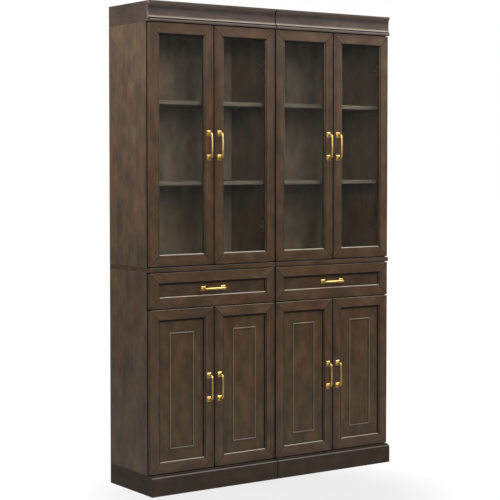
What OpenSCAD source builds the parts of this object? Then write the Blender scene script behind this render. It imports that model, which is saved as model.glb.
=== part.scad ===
// Pair of tall two-tier storage cabinets that stand side by side: each has a base cabinet with a
// drawer and two panelled doors, and a glazed hutch with two glass doors under a crown moulding.
// Frame: millimetres, +Z up, +X along the width, front faces -Y, origin at the bottom centre of
// the bounding box. Unit 1, door 1 and drawer 1 are at -X.
// Each door turns about a vertical axis 7 mm in from its unit's side and 4 mm behind the door's
// face, which keeps the door's edge inside the unit's width and clear of the side board. Each
// drawer slides out 178 mm along -Y.

/* [Overall] */
// Width of one unit
unit_w = 603; // [500:1:760]
// Gap between the two units, which touch where it is 0
unit_gap = 0; // [0:0.5:6]
// Height from the floor to the top of the crown
total_h = 1935; // [1600:1:2350]
// Depth from the door faces to the back
cabinet_d = 313; // [260:1:400]
// Height from the floor to the top of the base cabinet
base_h = 897; // [740:1:1100]
// Height of a drawer front
drawer_front_h = 141.5; // [135:0.5:180]

/* [Boards] */
// Thickness of the side boards
side_t = 16; // [14:0.5:20]
// Thickness of the fixed horizontal boards
deck_t = 16; // [14:0.5:20]
// Thickness of the board on top of the base cabinet
base_top_t = 18; // [16:0.5:24]
// How far that board stands in front of the door faces
base_top_proud = 3.5; // [1:0.5:6]
// Thickness of a shelf
shelf_t = 16; // [12:0.5:20]
// Distance from the carcass front to a shelf's front edge
shelf_setback = 22; // [16:1:60]
// Clear heights of the three shelf bays of a hutch, bottom to top, in proportion
hutch_bays = [304, 304, 286]; // [200:1:400]
// Thickness of a back panel
back_t = 5; // [3:0.5:8]
// Distance from the back edge of the sides to the back panel
back_inset = 8; // [6:0.5:15]
// Depth of the grooves that hold panels
groove_d = 6; // [4:0.5:8]
// Height of the plinth
plinth_h = 80; // [60:1:110]
// How far the plinth stands in front of the door faces
plinth_proud = 18.5; // [8:0.5:28]
// Thickness of the plinth boards
plinth_t = 18; // [15:0.5:22]
// Height of the crown
crown_h = 80; // [70:1:110]
// How far the crown's lip stands in front of the door faces
crown_proud = 8; // [4:0.5:20]
// Thickness of the crown moulding at its lip
crown_t = 26; // [24:0.5:32]

/* [Doors and drawers] */
// Thickness of the doors and drawer fronts
door_t = 17; // [16:0.5:21]
// Gap between a closed door and the carcass
door_gap = 1.5; // [1.5:0.1:2.5]
// Gap above, below and between doors and drawer fronts
reveal = 3.5; // [3:0.1:5]
// Distance from a door's edge to the unit's side
side_reveal = 2.5; // [1:0.1:3]
// Width of a frame bar
bar_w = 47; // [42:0.5:60]
// Width of the moulded inner edge of a frame bar
stick_w = 7; // [5:0.5:9]
// Depth of the recessed panels below the frame's face
recess = 7.5; // [5:0.5:8]
// Thickness of the recessed panels
panel_t = 6; // [4:0.5:7]
// Thickness of the glass
glass_t = 3; // [3:0.5:4]
// Width of the rebate that holds a panel or pane
rebate_w = 8; // [6:0.5:10]
// Width of the bead on a base door's panel
bead_w = 6; // [4:0.5:9]
// Height of that bead
bead_h = 3; // [2:0.5:4]
// Distance from the frame to the bead
bead_inset = 45; // [30:1:60]
// Room on each side of a drawer box for its runners
runner_room = 12.5; // [12.5:0.1:14]
// Thickness of the drawer box boards
box_t = 12; // [10:0.5:15]
// Height of the drawer box
box_h = 86; // [70:1:90]

/* [Hardware] */
// Distance between the feet of a pull
pull_cc = 96; // [76:1:128]
// Length of a pull's foot along the pull
foot_l = 22; // [18:0.5:26]
// Width of a pull's foot
foot_w = 19; // [16:0.5:24]
// Distance from a pull's seat to the front of its bar
pull_proud = 30; // [26:0.5:38]
// Diameter of a pull's bar
pull_bar_d = 9.5; // [8:0.5:11]
// Distance from the ends of a glass door to its hinges
glass_hinge_inset = 145; // [90:1:170]
// Distance from the ends of a base door to its hinges
base_hinge_inset = 100; // [80:1:130]
// Radius of a hinge cup
cup_r = 13; // [11:0.5:14]

/* [Hidden] */
$fn = 48;

// Named clearances
fit_gap = 0.2;          // a board in its groove, a pane in its rebate
glue_line = 0.1;        // between boards that are glued or screwed face to face
pin_gap = 0.05;         // radial, a pin in its hole
roller_gap = 0.3;       // a runner's roller in its rail

// Overall
total_w = 2 * unit_w + unit_gap;
front_reach = max(pull_proud, plinth_proud, crown_proud);
face_y = (front_reach - cabinet_d) / 2;
carcass_y = door_t + door_gap;
back_y = cabinet_d - back_inset - back_t;          // front of the back panels
inner_w = unit_w - 2 * side_t;

// Levels
crown_z = total_h - crown_h;
base_door_z = plinth_h + reveal;
drawer_top_z = base_h - base_top_t - reveal;
drawer_z = drawer_top_z - drawer_front_h;
base_door_top_z = drawer_z - reveal;
divider_z = drawer_z - reveal / 2 - deck_t / 2;
glass_door_z = base_h + reveal;
glass_door_top_z = crown_z - reveal;
hutch_floor_z = base_h + deck_t;
hutch_roof_z = crown_z - deck_t;

// Doors
door_w = (unit_w - 2 * side_reveal - reveal) / 2;
drawer_w = unit_w - 2 * side_reveal;
sheet_y = recess + glue_line;                      // front of the panels and panes
glass_door_h = glass_door_top_z - glass_door_z;
base_door_h = base_door_top_z - base_door_z;

// Shelves: undersides, measured from the floor
bay_share = (hutch_roof_z - hutch_floor_z - 2 * shelf_t) / (hutch_bays[0] + hutch_bays[1] + hutch_bays[2]);
hutch_shelf_z = [hutch_floor_z + hutch_bays[0] * bay_share,
                 hutch_floor_z + (hutch_bays[0] + hutch_bays[1]) * bay_share + shelf_t];
base_shelf_z = (plinth_h + deck_t + divider_z - shelf_t) / 2;
shelf_levels = [base_shelf_z, hutch_shelf_z[0], hutch_shelf_z[1]];
shelf_y = carcass_y + shelf_setback;
shelf_d = back_y - shelf_y - 2;
pin_rows = [-1, 0, 1];
pin_pitch = 32;
pin_r = 2.5;
pin_in = 8;             // length of a pin in its hole
pin_out = 7;            // length of a pin under its shelf
pin_y = [shelf_y + 35, shelf_y + shelf_d - 35];

// Hinge hardware
cup_edge = 5;           // from the door's edge to the cup
cup_depth = 10;
cup_x = side_reveal + cup_edge + cup_r;
flange_t = 1.2;
flange_l = 46;
flange_w = 16;
arm_y = carcass_y + 1;
arm_l = 52;
arm_w = 11;
arm_h = 12;
plate_t = 2;
plate_y = carcass_y + 37;

// Drawer hardware
rail_h = 24;
rail_t = 1.2;
rail_z = divider_z + deck_t + rail_h / 2 + 6;
rail_deep = 6.3;        // how far the rail's channel stands off the side board
rail_l = back_y - carcass_y - 6;
runner_t = 1.4;
roller_r = rail_h / 2 - rail_t - roller_gap;
front_roller_r = 8.8;
box_x = side_t + runner_room;
box_z = rail_z - rail_h / 2 - 1;
box_l = back_y - door_t - 18;
runner_l = box_l - 12;
bottom_t = 5;
bottom_up = 8;

// Pull details
pull_x = side_reveal + door_w - bar_w / 2;         // across a door, from the unit's side
drawer_pull_z = drawer_z + drawer_front_h / 2;
foot_t = 3;
screw_r = 1.9;
screw_head_r = 3.8;
screw_head_t = 2.2;

// Colours
wood = [0.30, 0.23, 0.19];
wood_dark = [0.22, 0.17, 0.14];
inside = [0.24, 0.19, 0.16];
gold = [0.79, 0.66, 0.33];
steel = [0.70, 0.70, 0.70];
clear = [0.65, 0.72, 0.72, 0.4];

// Moves a unit's own frame (x from its left side, y from the door faces, z from the floor) into place
module at_unit(u) translate([-total_w / 2 + (u - 1) * (unit_w + unit_gap), face_y, 0]) children();

// Places a door's hardware: the door's own x runs from its hinged side, so even doors are mirrored
module at_hinge_side(k) at_unit(ceil(k / 2))
  if (k % 2 == 1) children();
  else translate([unit_w, 0, 0]) mirror([1, 0, 0]) children();

// A board given by its corner and size
module board(at, size) translate(at) cube(size);

// Cross-section of a frame bar: p[0] across from the outer edge, p[1] back from the face.
// The inner edge steps down a quirk, then falls in a cove to the rebate's lip.
function bar_section(t, lip) = let (w = bar_w, s = stick_w, r = 1.5) concat(
  [for (a = [0:30:90]) [r - r * cos(a), r - r * sin(a)]],
  [[w - s, 0], [w - s, 1]],
  [for (a = [0:22.5:90]) [w - s + 1 + (s - 1) * sin(a), 1 + (lip - 2.5) * (1 - cos(a))]],
  [[w, lip], [w - rebate_w, lip], [w - rebate_w, t], [0, t]]);

// Cross-section of the bead that holds the glass, inside the rebate
function stop_section(y0, t) = let (w = bar_w, r = rebate_w - fit_gap) [
  [w - r, y0], [w, y0], [w, y0 + (t - y0) / 2], [w - 2.5, t], [w - r, t]];

// Four mitred bars round a w by h rectangle with its corner at the origin
module mitred_bars(w, h, section, reach) {
  for (side = [0, 1]) {
    // rails: bottom and top
    intersection() {
      translate([0, 0, side * h]) mirror([0, 0, side])
        rotate([90, 0, 90]) linear_extrude(w) polygon([for (p = section) [p[1], p[0]]]);
      translate([0, 100, side * h]) mirror([0, 0, side]) rotate([90, 0, 0]) linear_extrude(200)
        polygon([[glue_line, 0], [w - glue_line, 0], [w - reach - glue_line, reach], [reach + glue_line, reach]]);
    }
    // stiles: left and right
    intersection() {
      translate([side * w, 0, 0]) mirror([side, 0, 0]) linear_extrude(h) polygon(section);
      translate([side * w, 100, 0]) mirror([side, 0, 0]) rotate([90, 0, 0]) linear_extrude(200)
        polygon([[0, glue_line], [reach, reach + glue_line], [reach, h - reach - glue_line], [0, h - glue_line]]);
    }
  }
}

// Bores for two hinge cups in a door's hinged stile and two screws in its meeting stile
module door_cuts(z, h, inset) {
  for (hz = [z + inset, z + h - inset])
    translate([cup_x, door_t + 1, hz]) rotate([90, 0, 0]) cylinder(r = cup_r + fit_gap, h = cup_depth + 1 + fit_gap);
  for (s = [-1, 1])
    translate([pull_x, -1, z + h / 2 + s * pull_cc / 2]) rotate([-90, 0, 0])
      cylinder(r = screw_r + fit_gap, h = door_t + 2);
}

// Door frame with the outer edge of its bars at the door's edges
module door_frame(z, h, lip, inset) {
  difference() {
    translate([side_reveal, 0, z]) mitred_bars(door_w, h, bar_section(door_t, lip), bar_w + 1);
    door_cuts(z, h, inset);
  }
}

module glass_door_frame(k) color(wood) at_hinge_side(k) {
  door_frame(glass_door_z, glass_door_h, recess, glass_hinge_inset);
  translate([side_reveal, 0, glass_door_z])
    mitred_bars(door_w, glass_door_h, stop_section(sheet_y + glass_t + glue_line, door_t - 1), bar_w + 1);
}

// A sheet that fills the rebate of a frame with its corner at x, z
module rebate_sheet(x, z, w, h, t) let (in = bar_w - rebate_w + fit_gap)
  board([x + in, sheet_y, z + in], [w - 2 * in, t, h - 2 * in]);

module glass_door_pane(k) color(clear) at_hinge_side(k)
  rebate_sheet(side_reveal, glass_door_z, door_w, glass_door_h, glass_t);

module base_door_frame(k) color(wood) at_hinge_side(k)
  door_frame(base_door_z, base_door_h, recess, base_hinge_inset);

// Panel with a raised rectangular bead, half round on top
module base_door_panel(k) color(wood) at_hinge_side(k) let (in = bar_w + bead_inset) {
  rebate_sheet(side_reveal, base_door_z, door_w, base_door_h, panel_t);
  translate([side_reveal + in, sheet_y - bead_h, base_door_z + in]) difference() {
    board([0, 0, 0], [door_w - 2 * in, bead_h, base_door_h - 2 * in]);
    board([bead_w, -1, bead_w], [door_w - 2 * in - 2 * bead_w, bead_h + 2, base_door_h - 2 * in - 2 * bead_w]);
  }
}

// Bow pull along +Z, seated on the plane y = 0 with its middle at the origin, and its two screws.
// Bent from round bar: post, quarter bend, straight bar, quarter bend, post.
module pull(grip) {
  bend_r = 8;
  bar_y = pull_proud - pull_bar_d / 2;
  color(gold) for (s = [0, 1]) mirror([0, 0, s]) {
    difference() {
      union() {
        translate([-foot_w / 2, -foot_t, pull_cc / 2 - foot_l / 2]) cube([foot_w, foot_t, foot_l]);
        translate([0, 0, pull_cc / 2]) rotate([90, 0, 0]) cylinder(d = pull_bar_d, h = bar_y - bend_r);
        translate([0, -bar_y + bend_r, pull_cc / 2 - bend_r]) rotate([0, -90, 0])
          rotate([0, 0, -90]) rotate_extrude(angle = 90) translate([bend_r, 0]) circle(d = pull_bar_d);
        translate([0, -bar_y, 0]) cylinder(d = pull_bar_d, h = pull_cc / 2 - bend_r);
      }
      translate([0, 1, pull_cc / 2]) rotate([90, 0, 0]) cylinder(r = screw_r + pin_gap, h = 13);
    }
  }
  color(steel) for (s = [-1, 1]) translate([0, grip, s * pull_cc / 2]) rotate([90, 0, 0]) {
    cylinder(r = screw_r, h = grip + 10);
    translate([0, 0, -screw_head_t]) cylinder(r = screw_head_r, h = screw_head_t);
  }
}

module door_pull(k, z, h) at_hinge_side(k) translate([pull_x, 0, z + h / 2]) pull(door_t);

// Cup, flange and the two screw heads of a hinge, fixed to the door
module hinge_cup(z) translate([cup_x, door_t, z]) {
  difference() {
    union() {
      rotate([90, 0, 0]) cylinder(r = cup_r, h = cup_depth);
      translate([-cup_r + 1, 0, -flange_l / 2]) cube([flange_w, flange_t, flange_l]);
    }
    translate([0, flange_t + 1, 0]) rotate([90, 0, 0]) cylinder(r = cup_r - 1.2, h = cup_depth + flange_t);
  }
}

// The hinge arm's fixed part: a plate on the side board with the arm's channel clipped to it
module hinge_arm(z) {
  board([side_t, plate_y - 10, z - 24], [plate_t, 20, 48]);
  board([side_t + plate_t, arm_y, z - arm_w / 2], [arm_h - plate_t, arm_l, arm_w]);
}

// Mitred frame round a flat recessed panel
module drawer_front(u) color(wood) at_unit(u) difference() {
  union() {
    translate([side_reveal, 0, drawer_z])
      mitred_bars(drawer_w, drawer_front_h, bar_section(door_t, recess), bar_w + 1);
    rebate_sheet(side_reveal, drawer_z, drawer_w, drawer_front_h, panel_t);
  }
  drawer_pull_holes();
}

module drawer_pull_holes() for (s = [-1, 1])
  translate([unit_w / 2 + s * pull_cc / 2, -1, drawer_pull_z]) rotate([-90, 0, 0])
    cylinder(r = screw_r + fit_gap, h = door_t + box_t + 2);

// Box: two grooved sides, front and back boards between them, and a thin bottom
module drawer_box(u) color(inside) at_unit(u) {
  box_w = unit_w - 2 * box_x;
  y0 = door_t + glue_line;
  sheet = [box_w - 2 * box_t + 2 * (groove_d - fit_gap), box_l - 2 * glue_line, bottom_t];
  difference() {
    union() {
      for (x = [box_x, box_x + box_w - box_t]) board([x, y0, box_z], [box_t, box_l, box_h]);
      for (y = [y0, y0 + box_l - box_t])
        board([box_x + box_t + glue_line, y, box_z + bottom_up + bottom_t + fit_gap],
              [box_w - 2 * (box_t + glue_line), box_t, box_h - bottom_up - bottom_t - fit_gap]);
    }
    board([box_x + box_t - groove_d, y0 - 1, box_z + bottom_up - fit_gap / 2],
          [box_w - 2 * box_t + 2 * groove_d, box_l + 2, bottom_t + fit_gap]);
    drawer_pull_holes();
  }
  board([box_x + box_t - groove_d + fit_gap, y0 + glue_line, box_z + bottom_up], sheet);
}

module drawer_pull(u) at_unit(u) translate([unit_w / 2, sheet_y, drawer_pull_z])
  rotate([0, 90, 0]) pull(door_t + box_t + glue_line - sheet_y);

// Both sides of a unit: children are drawn at the left and mirrored at the right
module both_sides() {
  children();
  translate([unit_w, 0, 0]) mirror([1, 0, 0]) children();
}

// Moving half of a drawer slide: web and top flange on the box, roller at its rear in the rail
module drawer_runners(u) color(steel) at_unit(u) both_sides() {
  y0 = door_t + 6;
  web_x = box_x - runner_t;
  flange_x = side_t + rail_deep + roller_gap;
  web_h = rail_h - 2;
  board([web_x, y0, rail_z - web_h / 2], [runner_t, runner_l, web_h]);
  board([flange_x, y0, rail_z + web_h / 2 - rail_t], [web_x - flange_x + runner_t, runner_l, rail_t]);
  roller_x = side_t + rail_t + roller_gap;
  translate([roller_x, y0 + runner_l - roller_r - 3, rail_z]) rotate([0, 90, 0]) {
    cylinder(r = roller_r, h = rail_deep - rail_t - 2 * roller_gap);
    cylinder(r = 2.5, h = web_x - roller_x + runner_t / 2);
  }
}

// Fixed half of a drawer slide: an open channel on the side board with a roller at its front
module drawer_rail() {
  translate([side_t, carcass_y + 2, rail_z - rail_h / 2]) difference() {
    cube([rail_deep, rail_l, rail_h]);
    translate([rail_t, -1, rail_t]) cube([rail_deep, rail_l + 2, rail_h - 2 * rail_t]);
  }
  translate([side_t + rail_t / 2, carcass_y + 2 + front_roller_r, rail_z]) rotate([0, 90, 0]) {
    cylinder(r = 2.5, h = rail_deep + 3);
    translate([0, 0, rail_deep - rail_t / 2 + roller_gap]) cylinder(r = front_roller_r, h = 3.4);
  }
}

// Side boards from z0 to z1, grooved for the back panel and drilled for the shelf pins
module side_boards(z0, z1, levels) both_sides() difference() {
  board([0, carcass_y, z0], [side_t, cabinet_d - carcass_y, z1 - z0]);
  board([side_t - groove_d, back_y - fit_gap / 2, z0 - 1], [groove_d + 1, back_t + fit_gap, z1 - z0 + 2]);
  for (level = levels, row = pin_rows, y = pin_y)
    translate([side_t - pin_in - 1, y, level + row * pin_pitch - pin_r]) rotate([0, 90, 0])
      cylinder(r = pin_r + pin_gap, h = pin_in + 2);
}

// A fixed board between the sides, from the carcass front to the back panel
module deck(z) board([side_t, carcass_y, z], [inner_w, back_y - carcass_y - fit_gap, deck_t]);

module base_sides(u) color(wood) at_unit(u)
  side_boards(plinth_h, base_h - base_top_t, [base_shelf_z]);

module base_decks(u) color(inside) at_unit(u) {
  deck(plinth_h);
  deck(divider_z);
}

// Top board with a rounded front edge
module base_top(u) color(wood) at_unit(u) translate([0, 0, base_h - base_top_t]) rotate([90, 0, 90])
  linear_extrude(unit_w) let (r = 2) polygon(concat(
    [for (a = [0:30:90]) [-base_top_proud + r - r * cos(a), base_top_t - r + r * sin(a)]],
    [[cabinet_d, base_top_t], [cabinet_d, 0]],
    [for (a = [-90:30:0]) [-base_top_proud + r - r * cos(a), r + r * sin(a)]]));

// Plinth box: moulding, front rail behind it, two side boards and a rear board, all on the floor
module plinth(u) color(wood_dark) at_unit(u) {
  nose = 9;
  rear = -plinth_proud + plinth_t;
  rail_back = carcass_y + 4;
  rotate([90, 0, 90]) linear_extrude(unit_w) polygon(concat(
    [[rear, 0], [-plinth_proud, 0], [-plinth_proud, plinth_h - 4 - nose]],
    [for (a = [0:15:90]) [-plinth_proud + nose * (1 - cos(a)), plinth_h - 4 - nose + nose * sin(a)]],
    [[-plinth_proud + nose + 3, plinth_h - 4], [-plinth_proud + nose + 3, plinth_h - 1.5],
     [rear, plinth_h - 1.5]]));
  both_sides() board([0, rear + glue_line, 0], [side_t, cabinet_d - rear - glue_line, plinth_h - glue_line]);
  board([side_t + glue_line, rear + glue_line, 0],
        [inner_w - 2 * glue_line, rail_back - rear - glue_line, plinth_h - glue_line]);
  board([side_t + glue_line, cabinet_d - back_inset - plinth_t, 0],
        [inner_w - 2 * glue_line, plinth_t, plinth_h - glue_line]);
}

module hutch_sides(u) color(wood) at_unit(u) side_boards(base_h + glue_line, crown_z, hutch_shelf_z);

module hutch_decks(u) color(inside) at_unit(u) {
  deck(base_h + glue_line);
  deck(hutch_roof_z);
}

// Loose shelves: one in the base cabinet and two in the hutch
module shelves(u) color(inside) at_unit(u) for (z = shelf_levels)
  board([side_t + 1, shelf_y, z], [inner_w - 2, shelf_d, shelf_t]);

// Crown: front moulding with a lip, a cove and a nose, then end boards, a rear board and a cap
module crown(u) color(wood) at_unit(u) translate([0, 0, crown_z + glue_line]) {
  h = crown_h - glue_line;
  lip = crown_proud;
  rear = crown_t - lip;
  cap_t = 12;
  rotate([90, 0, 90]) linear_extrude(unit_w) polygon(concat(
    [[rear, 0], [2 - lip, 0], [-lip, 2], [-lip, 6]],
    [for (a = [0:30:90]) [-lip + 2.5 * sin(a), 6 + 6 * (1 - cos(a))]],
    [[3 - lip, 16], [8 - lip, 20], [8.5 - lip, 26], [8.5 - lip, 48]],
    [for (a = [0:18:90]) [8.5 - lip - 7 * (1 - cos(a)), 48 + (h - 57) * sin(a)]],
    [[-lip, h - 8], [-lip, h - 1.5], [1.5 - lip, h], [rear, h]]));
  both_sides() board([0, rear + glue_line, 0], [side_t, cabinet_d - rear - glue_line, h]);
  board([side_t + glue_line, cabinet_d - side_t, 0], [inner_w - 2 * glue_line, side_t, h]);
  board([side_t + glue_line, rear + glue_line, h - cap_t],
        [inner_w - 2 * glue_line, cabinet_d - side_t - rear - 2 * glue_line, cap_t]);
}

// Thin back panels in the grooves of the base and hutch sides
module back_panels() color(inside) for (u = [1, 2]) at_unit(u) {
  in = side_t - groove_d + fit_gap;
  board([in, back_y, plinth_h], [unit_w - 2 * in, back_t, base_h - base_top_t - plinth_h - glue_line]);
  board([in, back_y, base_h + glue_line], [unit_w - 2 * in, back_t, crown_z - base_h - glue_line]);
}

module hinge_arms() color(steel) for (k = [1:4]) at_hinge_side(k) {
  for (z = [glass_door_z + glass_hinge_inset, glass_door_top_z - glass_hinge_inset]) hinge_arm(z);
  for (z = [base_door_z + base_hinge_inset, base_door_top_z - base_hinge_inset]) hinge_arm(z);
}

// Pins that hold the shelves: a round peg in the side board and a flat tongue under the shelf
module shelf_pins() color(steel) for (u = [1, 2]) at_unit(u) both_sides()
  for (z = shelf_levels, y = pin_y) translate([side_t - pin_in, y, z - pin_r]) intersection() {
    rotate([0, 90, 0]) cylinder(r = pin_r, h = pin_in + pin_out);
    translate([0, -pin_r, -pin_r]) cube([pin_in + pin_out, 2 * pin_r, 2 * pin_r]);
  }

module drawer_rails() color(steel) for (u = [1, 2]) at_unit(u) both_sides() drawer_rail();

for (k = [1:4]) {
  glass_door_frame(k);
  glass_door_pane(k);
  door_pull(k, glass_door_z, glass_door_h);
  color(steel) at_hinge_side(k)
    for (z = [glass_door_z + glass_hinge_inset, glass_door_top_z - glass_hinge_inset]) hinge_cup(z);
  base_door_frame(k);
  base_door_panel(k);
  door_pull(k, base_door_z, base_door_h);
  color(steel) at_hinge_side(k)
    for (z = [base_door_z + base_hinge_inset, base_door_top_z - base_hinge_inset]) hinge_cup(z);
}
for (u = [1, 2]) {
  drawer_front(u);
  drawer_box(u);
  drawer_pull(u);
  drawer_runners(u);
  base_sides(u);
  base_decks(u);
  base_top(u);
  plinth(u);
  hutch_sides(u);
  hutch_decks(u);
  shelves(u);
  crown(u);
}
back_panels();
hinge_arms();
shelf_pins();
drawer_rails();
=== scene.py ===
"""Looks of a pair of glass-fronted storage cabinets: stained wood, clear panes and brass bow pulls.

Lengths inside this script are millimetres in the part's own frame, and become metres in the meshes.
"""
import math

import bpy
import numpy as np
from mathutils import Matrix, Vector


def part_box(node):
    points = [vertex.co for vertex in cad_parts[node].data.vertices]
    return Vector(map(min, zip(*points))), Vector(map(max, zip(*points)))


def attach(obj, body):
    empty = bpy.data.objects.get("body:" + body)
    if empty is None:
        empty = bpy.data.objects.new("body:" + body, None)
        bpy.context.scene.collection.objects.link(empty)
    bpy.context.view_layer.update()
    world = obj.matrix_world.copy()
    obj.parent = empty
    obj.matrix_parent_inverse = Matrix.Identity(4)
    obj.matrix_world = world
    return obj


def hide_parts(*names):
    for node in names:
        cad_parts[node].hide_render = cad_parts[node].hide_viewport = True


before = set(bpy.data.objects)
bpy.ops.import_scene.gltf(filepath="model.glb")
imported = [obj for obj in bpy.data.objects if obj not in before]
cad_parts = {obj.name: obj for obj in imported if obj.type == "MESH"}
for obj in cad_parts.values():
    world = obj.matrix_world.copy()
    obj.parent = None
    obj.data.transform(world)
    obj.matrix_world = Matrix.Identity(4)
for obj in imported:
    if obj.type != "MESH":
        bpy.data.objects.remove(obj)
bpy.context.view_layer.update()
dice = np.random.default_rng(7)

# Sizes of the joinery, as the boards were cut
BAR_W = 47          # frame bars across
STICK_W = 7         # moulded inner edge of a bar
RECESS = 7.5        # face to panel
DOOR_T = 17
REBATE_W = 8
SHEET_LIP = 7.8     # how far a panel or pane reaches behind its bars
BEAD_W = 6
BEAD_H = 3
BEAD_INSET = 45
SHEET_FRONT = 7.6   # front of panels and panes, behind the door faces
GLASS_T = 3
BOARD_T = 16
HUTCH_BAY = 304     # clear height of a hutch's lowest shelf bay
CROWN_T = 26
CAP_T = 12
END_SHADE = 0.3     # darkening over the whole of the crown's end boards
TOP_SHADE = 0.16    # and of the base tops
PLINTH_T = 18
RAIL_IN = 4         # back of the plinth's front rail, behind the carcass front
REAR_IN = 8         # its rear board, in from the carcass back
PLAY = 0.1          # left between boards that meet
PANEL_T = 6         # recessed panel of a drawer front
PANEL_SHADE = 0.32  # painted shade over the whole of that recessed panel
BACK_IN = 10.2      # side board's outer face to the edge of a back sheet
BOX_T = 12          # sides, front and back of a drawer box
BOX_FLOOR_T = 5
BOX_FLOOR_UP = 8    # lower edges of the box's sides to its bottom
BOX_GROOVE = 6.2    # outer face of a side to the bottom's edge
PULL_CC = 96        # between the pull's screws
PULL_OUT = 25.25    # door face to the middle of the bar
PULL_R = 4.75
PULL_BEND = 10      # radius from a post into the bar
BOW_RISE = 1.8
PULL_SCREW = (3.8, 2.1)  # radius and rise of a screw's head
CUP_R = 13          # flange round a hinge cup
FLANGE_HALF = 23    # half the height of a hinge's flange on the door
FLANGE_SCREW = 18.5  # its middle to each of its screws
FLANGE_T = 1.2
PLATE_BACK = 36     # middle of a hinge's mounting plate, behind the carcass front
PLATE_SCREW = 17    # its middle to each of its screws
PLATE_T = 2
SHARPEST = 0.04     # least radius of a board's corner
SHARP_ANGLE = 32    # edges turned further than this stay sharp
LOG_SIZE = 9000     # of the log that every board is cut from


# ---------------------------------------------------------------- shells
def corner_box(node):
    """Lowest and highest corner of a CAD node, in millimetres."""
    low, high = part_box(node)
    return np.array(low) * 1000, np.array(high) * 1000


CARCASS_FRONT = corner_box("base_1_sides")[0][1]
DOOR_FACE = corner_box("base_door_1_frame")[0][1]


def close_rings(rings):
    """A closed shell from a stack of rings, array (rings, points, 3).

    Point j of each ring is joined to point j of the next, and a flat face closes each end. The faces are
    turned round if the volume enclosed, the sum of a . (b x c) / 6 over a fan of triangles, is negative.
    """
    count, around = rings.shape[:2]
    row = np.arange(count - 1)[:, None] * around
    here = row + np.arange(around)[None, :]
    beside = row + (np.arange(around)[None, :] + 1) % around
    quads = np.stack([here, beside, beside + around, here + around], -1).reshape(-1, 4)
    first = np.arange(around)[::-1]
    last = np.arange(around) + (count - 1) * around
    points = rings.reshape(-1, 3)
    middle = points - points.mean(0)
    fans = [quads[:, [0, 1, 2]], quads[:, [0, 2, 3]]]
    fans += [np.stack([np.full(around - 2, end[0]), end[1:-1], end[2:]], -1) for end in (first, last)]
    a, b, c = (middle[np.concatenate(fans)[:, i]] for i in range(3))
    if np.einsum("ij,ij->i", a, np.cross(b, c)).sum() < 0:
        quads, first, last = quads[:, ::-1], first[::-1], last[::-1]
    return points, quads.tolist() + [first.tolist(), last.tolist()]


def board_grain(points, along):
    """Coordinates that follow the fibres: first along the board, then the two across, from a place in
    the log of its own for every board."""
    return np.roll(points, -along, axis=1) + dice.uniform(0, LOG_SIZE, 3)


def shell(rings, along=0, painted_light_and_joints=0.0):
    """A closed shell with its fibre coordinates, along being the axis that the fibres follow.

    The last argument gives how dark a point is painted, 0 to 1, for each point of a ring or for each ring:
    painted shade, and the dark joints at mitres and seams. Below 0 it is a pale painted highlight, partly
    wear on bead crests, down to -1 where an edge is at its palest.
    """
    points, faces = close_rings(np.asarray(rings, float))
    return points, faces, board_grain(points, along), np.broadcast_to(painted_light_and_joints, rings.shape[:2]).ravel()


def rounded_rectangles(half_w, half_h, radius, steps=2):
    """Rounded rectangles, one a row: each corner is an arc round a centre drawn in by the radius.

    With both halves equal to the radius it is a circle, so a stack can turn from square to round.
    """
    half_w, half_h, radius = (np.asarray(v, float) for v in np.broadcast_arrays(half_w, half_h, radius))
    turn = np.radians(90 * np.arange(4)[:, None] + np.linspace(0, 90, steps + 1)[None, :])
    sign = np.array([[1, 1], [-1, 1], [-1, -1], [1, -1]])
    centre = sign[None] * np.stack([half_w - radius, half_h - radius], -1)[:, None, :]
    quarters = np.stack([np.cos(turn), np.sin(turn)], -1)
    return (centre[:, :, None] + radius[:, None, None, None] * quarters[None]).reshape(len(half_w), -1, 2)


def stack(outlines, depth, order, centre):
    """Rings from flat outlines (rings, points, 2), each at its depth; order says which axes of the part
    the outline's two and the depth become."""
    rings = np.empty(outlines.shape[:2] + (3,))
    rings[..., order[0]] = outlines[..., 0]
    rings[..., order[1]] = outlines[..., 1]
    rings[..., order[2]] = np.asarray(depth, float)[:, None]
    return rings + np.asarray(centre, float)


def eased_board(low, high, along, ease=0.8, dark_front=False, shade=0.0):
    """Board with rubbed edges: rounded rectangles stacked through its thickness.

    At turn a from the face, the outline is drawn in by ease (1 - sin a) at a depth of ease (1 - cos a).
    A board whose front edge only shows between doors gets painted shade on that edge, and shade
    darkens the rest of it.
    """
    low, high = np.array(low, float), np.array(high, float)
    size = high - low
    thick = int(np.argmin(size))
    flat = [axis for axis in range(3) if axis != thick]
    turn = np.radians([0, 30, 60, 90])
    inset = ease * (1 - np.sin(turn))
    depth = ease * (1 - np.cos(turn))
    inset = np.concatenate([inset, inset[::-1]])
    depth = np.concatenate([depth, size[thick] - depth[::-1]]) - size[thick] / 2
    radius = np.maximum(ease - inset, SHARPEST)
    outlines = rounded_rectangles(size[flat[0]] / 2 - inset, size[flat[1]] / 2 - inset, radius)
    rings = stack(outlines, depth, flat + [thick], (low + high) / 2)
    # points on the front edge, which gets painted shade where it only shows in the gaps between doors
    front = rings[..., 1] < low[1] + ease + PLAY
    return shell(rings, along, np.where(front & dark_front, 1.0, shade))


def drawn_in(section, by):
    """A section with every point moved towards its middle by a length."""
    out = section - section.mean(0)
    return section - out / np.linalg.norm(out, axis=1, keepdims=True) * by


def mitred_bar(section, length):
    """One bar of a frame, ends cut at 45 degrees, in (along, across, back) coordinates.

    A point that is a from the outer edge starts a + the play along the bar and stops as far from its
    other end. The section draws in over the chamfer, which leaves a hairline at each joint.
    """
    small = drawn_in(section, MITRE_EASE)
    start = section[:, 0] + PLAY
    stop = length - start
    runs = [start, start + MITRE_CHAMFER, start + 2 * MITRE_CHAMFER]
    runs += [stop - 2 * MITRE_CHAMFER, stop - MITRE_CHAMFER, stop]
    cuts = [small, section, section, section, section, small]
    return np.stack([np.column_stack([run, cut]) for run, cut in zip(runs, cuts)])


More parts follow.
